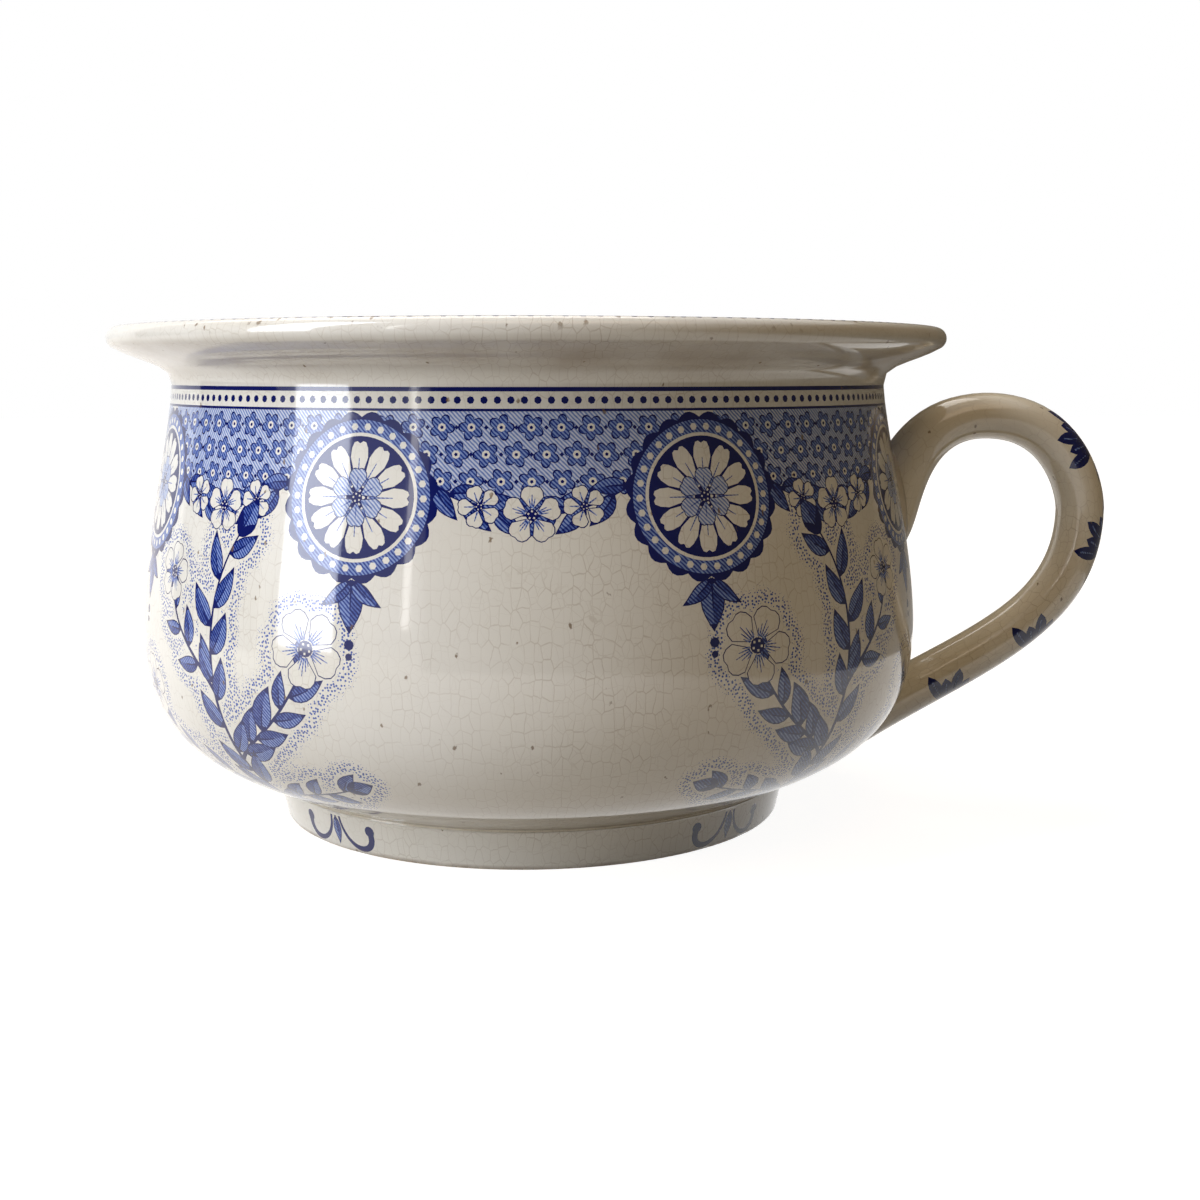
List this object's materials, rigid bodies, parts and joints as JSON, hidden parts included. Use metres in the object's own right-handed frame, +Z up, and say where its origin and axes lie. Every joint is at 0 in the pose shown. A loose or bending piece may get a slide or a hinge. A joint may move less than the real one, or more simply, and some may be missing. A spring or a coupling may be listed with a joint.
{
  "type": "chamber pot",
  "caption": "Round-bellied ceramic chamber pot with a flared rim, a foot ring and a loop handle; a blue transfer-printed border and sprays on ivory glaze.",
  "frame": {"origin": "on the pot's axis, in the plane of the ground ring that it stands on", "axes": "+Z up along the pot's axis; +X towards the handle; +Y to the back as the picture sees it"},
  "size_m": [0.2876, 0.235, 0.138],
  "materials": {
    "glaze": "gloss",
    "handle_glaze": "gloss",
    "foot_glaze": "gloss",
    "slip": "gloss"
  },
  "bodies": {
    "root": {"pot_body": "glaze", "foot_ring": "foot_glaze", "foot_slip": "slip", "handle": "handle_glaze", "upper_handle_slip": "slip", "lower_handle_slip": "slip"}
  },
  "joints": []
}
